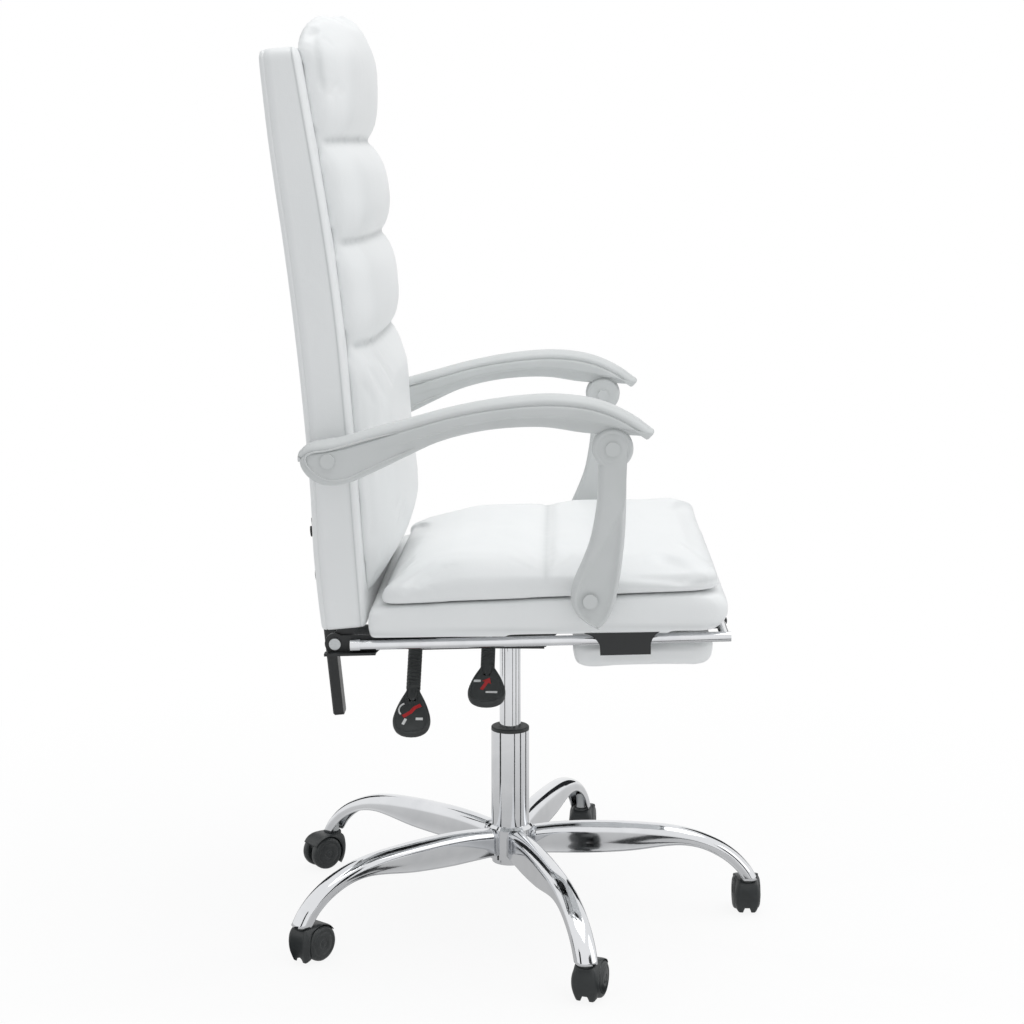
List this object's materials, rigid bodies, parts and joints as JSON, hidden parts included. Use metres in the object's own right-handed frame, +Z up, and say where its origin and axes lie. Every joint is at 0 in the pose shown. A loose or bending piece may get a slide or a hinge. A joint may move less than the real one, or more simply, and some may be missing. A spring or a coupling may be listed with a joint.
{
  "type": "reclining office chair",
  "caption": "Reclining office chair with a padded seat, a tall channelled back, linked armrests, a slide-out footrest, a gas lift and a star base on casters.",
  "frame": {"origin": "on the floor under the column axis", "axes": "+Z up, the sitter faces -Y, +X to the sitter's left"},
  "size_m": [0.6615, 0.6331, 1.1541],
  "materials": {
    "chrome_steel": "polished chrome plate",
    "bright_steel": "zinc plated",
    "black_steel": "black powder coat",
    "black_plastic": "fine matte",
    "black_nylon": "satin nylon",
    "white_faux_leather": "smooth semi-gloss",
    "plywood": "raw",
    "grey_plastic": "satin",
    "grey_capped_bolt": "satin cap"
  },
  "bodies": {
    "base": {"base_hub": "chrome_steel", "base_legs": "chrome_steel", "caster_sockets": "bright_steel", "caster_stems": "bright_steel", "column_tube": "chrome_steel", "column_bush": "black_plastic", "thrust_bearing": "bright_steel"},
    "piston": {"piston_rod": "bright_steel", "retaining_clip": "bright_steel"},
    "seat": {"gas_cylinder": "chrome_steel", "cylinder_seal": "black_plastic", "mechanism_plate": "black_steel", "seat_fasteners": "bright_steel", "seat_frame": "plywood", "seat_base": "white_faux_leather", "seat_pad": "white_faux_leather", "rail_guides": "black_steel", "rail_bushes": "black_plastic", "hinge_seat_brackets": "black_steel", "arm_post_bolts": "grey_capped_bolt", "strut_rod": "bright_steel", "strut_release_head": "black_steel"},
    "back": {"back_board": "plywood", "back_shell": "white_faux_leather", "back_cushion": "white_faux_leather", "back_bar": "black_steel", "back_fasteners": "bright_steel", "hinge_back_leaves": "black_steel", "arm_rear_bolts": "grey_capped_bolt"},
    "strut": {"strut_cylinder": "black_steel"},
    "armrest_right": {"armrest_frame_right": "grey_plastic", "armrest_cover_right": "grey_plastic"},
    "armrest_left": {"armrest_frame_left": "grey_plastic", "armrest_cover_left": "grey_plastic"},
    "post_right": {"arm_post_right": "grey_plastic", "arm_front_bolt_right": "grey_capped_bolt"},
    "post_left": {"arm_post_left": "grey_plastic", "arm_front_bolt_left": "grey_capped_bolt"},
    "footrest_frame": {"footrest_rails": "chrome_steel", "footrest_crossbar": "chrome_steel"},
    "footrest_flap": {"footrest_board": "plywood", "footrest_pad": "white_faux_leather", "footrest_hinges": "black_steel"},
    "lift_lever": {"lift_lever_rod": "bright_steel", "lift_lever_grip": "black_plastic"},
    "lock_lever": {"lock_lever_rod": "bright_steel", "lock_lever_grip": "black_plastic"},
    "lift_pin": {"lift_release_pin": "bright_steel"},
    "lock_pin": {"lock_release_pin": "bright_steel"},
    "caster_1": {"caster_hood_1": "black_nylon"},
    "caster_wheels_1": {"caster_wheels_1": "black_nylon"},
    "caster_2": {"caster_hood_2": "black_nylon"},
    "caster_wheels_2": {"caster_wheels_2": "black_nylon"},
    "caster_3": {"caster_hood_3": "black_nylon"},
    "caster_wheels_3": {"caster_wheels_3": "black_nylon"},
    "caster_4": {"caster_hood_4": "black_nylon"},
    "caster_wheels_4": {"caster_wheels_4": "black_nylon"},
    "caster_5": {"caster_hood_5": "black_nylon"},
    "caster_wheels_5": {"caster_wheels_5": "black_nylon"}
  },
  "joints": [
    {"name": "swivel", "type": "hinge", "parent": "base", "child": "piston", "pos_m": [0, 0, 0.2], "axis": [0, 0, 1], "continuous": true},
    {"name": "lift", "type": "slide", "parent": "piston", "child": "seat", "axis": [0, 0, 1], "range_m": [-0.095, 0]},
    {"name": "recline", "type": "hinge", "parent": "seat", "child": "back", "pos_m": [0, 0.2048, 0.4206], "axis": [-1, 0, 0], "range_deg": [0, 35]},
    {"name": "strut_stroke", "type": "slide", "parent": "seat", "child": "strut", "axis": [0, -1, 0], "range_m": [0, 0.0245]},
    {"name": "armrest_right_pivot", "type": "hinge", "parent": "back", "child": "armrest_right", "pos_m": [-0.272, 0.2031, 0.6515], "axis": [-1, 0, 0], "range_deg": [-34, 0]},
    {"name": "post_right_pivot", "type": "hinge", "parent": "seat", "child": "post_right", "pos_m": [-0.272, -0.0999, 0.4866], "axis": [-1, 0, 0], "range_deg": [0, 45]},
    {"name": "armrest_left_pivot", "type": "hinge", "parent": "back", "child": "armrest_left", "pos_m": [0.272, 0.2031, 0.6515], "axis": [-1, 0, 0], "range_deg": [-34, 0]},
    {"name": "post_left_pivot", "type": "hinge", "parent": "seat", "child": "post_left", "pos_m": [0.272, -0.0999, 0.4866], "axis": [-1, 0, 0], "range_deg": [0, 45]},
    {"name": "footrest_slide", "type": "slide", "parent": "seat", "child": "footrest_frame", "axis": [0, -0.9996, 0.0297], "range_m": [0, 0.27]},
    {"name": "footrest_flip", "type": "hinge", "parent": "footrest_frame", "child": "footrest_flap", "pos_m": [0, -0.2612, 0.43375], "axis": [-1, 0, 0], "range_deg": [0, 180]},
    {"name": "lift_lever_tilt", "type": "hinge", "parent": "seat", "child": "lift_lever", "pos_m": [-0.0495, 0.024, 0.404], "axis": [0, 1, 0], "range_deg": [0, 7], "stiffness_Nm_per_rad": 0.6},
    {"name": "lock_lever_tilt", "type": "hinge", "parent": "seat", "child": "lock_lever", "pos_m": [-0.0495, 0.115, 0.404], "axis": [0, 1, 0], "range_deg": [0, 7], "stiffness_Nm_per_rad": 0.6},
    {"name": "lift_pin_stroke", "type": "slide", "parent": "seat", "child": "lift_pin", "axis": [0, 0, -1], "range_m": [0, 0.0061]},
    {"name": "lock_pin_stroke", "type": "slide", "parent": "seat", "child": "lock_pin", "axis": [0, 0, -1], "range_m": [0, 0.0061]},
    {"name": "caster_1_swivel", "type": "hinge", "parent": "base", "child": "caster_1", "pos_m": [0, -0.316, 0.045], "axis": [0, 0, 1], "continuous": true},
    {"name": "caster_1_roll", "type": "hinge", "parent": "caster_1", "child": "caster_wheels_1", "pos_m": [0.02, -0.316, 0.023], "axis": [0, -1, 0], "continuous": true},
    {"name": "caster_2_swivel", "type": "hinge", "parent": "base", "child": "caster_2", "pos_m": [0.30053, -0.09765, 0.045], "axis": [0, 0, 1], "continuous": true},
    {"name": "caster_2_roll", "type": "hinge", "parent": "caster_2", "child": "caster_wheels_2", "pos_m": [0.32034, -0.10043, 0.023], "axis": [-0.1392, -0.9903, 0], "continuous": true},
    {"name": "caster_3_swivel", "type": "hinge", "parent": "base", "child": "caster_3", "pos_m": [0.18574, 0.25565, 0.045], "axis": [0, 0, 1], "continuous": true},
    {"name": "caster_3_roll", "type": "hinge", "parent": "caster_3", "child": "caster_wheels_3", "pos_m": [0.17288, 0.27097, 0.023], "axis": [0.766, 0.6428, 0], "continuous": true},
    {"name": "caster_4_swivel", "type": "hinge", "parent": "base", "child": "caster_4", "pos_m": [-0.18574, 0.25565, 0.045], "axis": [0, 0, 1], "continuous": true},
    {"name": "caster_4_roll", "type": "hinge", "parent": "caster_4", "child": "caster_wheels_4", "pos_m": [-0.16998, 0.24334, 0.023], "axis": [-0.6157, -0.788, 0], "continuous": true},
    {"name": "caster_5_swivel", "type": "hinge", "parent": "base", "child": "caster_5", "pos_m": [-0.30053, -0.09765, 0.045], "axis": [0, 0, 1], "continuous": true},
    {"name": "caster_5_roll", "type": "hinge", "parent": "caster_5", "child": "caster_wheels_5", "pos_m": [-0.28141, -0.1035, 0.023], "axis": [-0.2924, -0.9563, 0], "continuous": true}
  ],
  "couplings": [
    {"joint": "strut_stroke", "follows": "recline", "m_per_rad": 0.03938},
    {"joint": "armrest_right_pivot", "follows": "recline", "ratio": -0.9572},
    {"joint": "post_right_pivot", "follows": "recline", "ratio": 1.2706},
    {"joint": "armrest_left_pivot", "follows": "recline", "ratio": -0.9572},
    {"joint": "post_left_pivot", "follows": "recline", "ratio": 1.2706},
    {"joint": "lift_pin_stroke", "follows": "lift_lever_tilt", "m_per_rad": 0.0494},
    {"joint": "lock_pin_stroke", "follows": "lock_lever_tilt", "m_per_rad": 0.0494}
  ]
}
